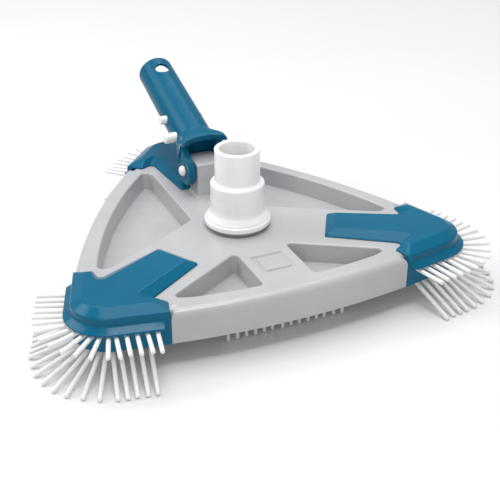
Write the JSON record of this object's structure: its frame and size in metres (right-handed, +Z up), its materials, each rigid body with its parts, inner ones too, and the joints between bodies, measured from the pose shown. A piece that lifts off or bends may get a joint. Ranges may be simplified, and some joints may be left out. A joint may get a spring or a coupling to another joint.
{
  "type": "pool vacuum head",
  "caption": "Triangular weighted pool vacuum head with bristled corners, a swivelling hose spigot and a tilting pole handle with snap buttons.",
  "frame": {"origin": "centre of the bounding box in plan, on the floor that the lower bristles stand on", "axes": "+X to the right seen from the wide front side, +Y towards the handle corner, +Z up"},
  "size_m": [0.34, 0.3126, 0.114],
  "materials": {
    "grey_shell": "light grey moulded plastic, glossy",
    "grey_plate": "light grey moulded plastic",
    "blue_caps": "satin blue moulded plastic",
    "blue_handle": "satin blue moulded plastic",
    "bristles": "white nylon rods",
    "spigot": "white moulded plastic",
    "clip": "white moulded plastic",
    "pin": "white moulded plastic",
    "seal": "black rubber",
    "ballast": "cast weight",
    "screws": "stainless steel"
  },
  "bodies": {
    "head": {"body_shell": "grey_shell", "base_plate": "grey_plate", "left_corner_cap": "blue_caps", "left_upper_brush": "bristles", "left_lower_brush": "bristles", "left_ballast": "ballast", "right_corner_cap": "blue_caps", "right_upper_brush": "bristles", "right_lower_brush": "bristles", "right_ballast": "ballast", "rear_corner_cap": "blue_caps", "rear_upper_brush": "bristles", "rear_lower_brush": "bristles", "rear_ballast": "ballast", "front_side_brush": "bristles", "right_side_brush": "bristles", "left_side_brush": "bristles", "left_cap_screw_a": "screws", "left_cap_screw_b": "screws", "right_cap_screw_a": "screws", "right_cap_screw_b": "screws", "rear_cap_screw_a": "screws", "rear_cap_screw_b": "screws", "front_strip_screw_a": "screws", "front_strip_screw_b": "screws", "right_strip_screw_a": "screws", "right_strip_screw_b": "screws", "left_strip_screw_a": "screws", "left_strip_screw_b": "screws", "left_plate_screw": "screws", "right_plate_screw": "screws", "rear_plate_screw": "screws", "spigot_seal": "seal"},
    "spigot_body": {"spigot": "spigot", "spigot_retainer": "spigot"},
    "handle_body": {"handle": "blue_handle", "pivot_pin": "pin", "pivot_pin_cap": "pin", "clip_bend": "clip"},
    "clip_left": {"clip_arm_left": "clip"},
    "clip_right": {"clip_arm_right": "clip"}
  },
  "joints": [
    {"name": "spigot_swivel", "type": "hinge", "parent": "head", "child": "spigot_body", "pos_m": [0, -0.03556, 0.0597], "axis": [0, 0, 1], "continuous": true},
    {"name": "handle_tilt", "type": "hinge", "parent": "head", "child": "handle_body", "pos_m": [0, 0.02719, 0.0587], "axis": [1, 0, 0], "range_deg": [0, 90]},
    {"name": "clip_left_press", "type": "slide", "parent": "handle_body", "child": "clip_left", "axis": [1, 0, 0], "range_m": [0, 0.0045], "stiffness_N_per_m": 600},
    {"name": "clip_right_press", "type": "slide", "parent": "handle_body", "child": "clip_right", "axis": [-1, 0, 0], "range_m": [0, 0.0045], "stiffness_N_per_m": 600}
  ]
}
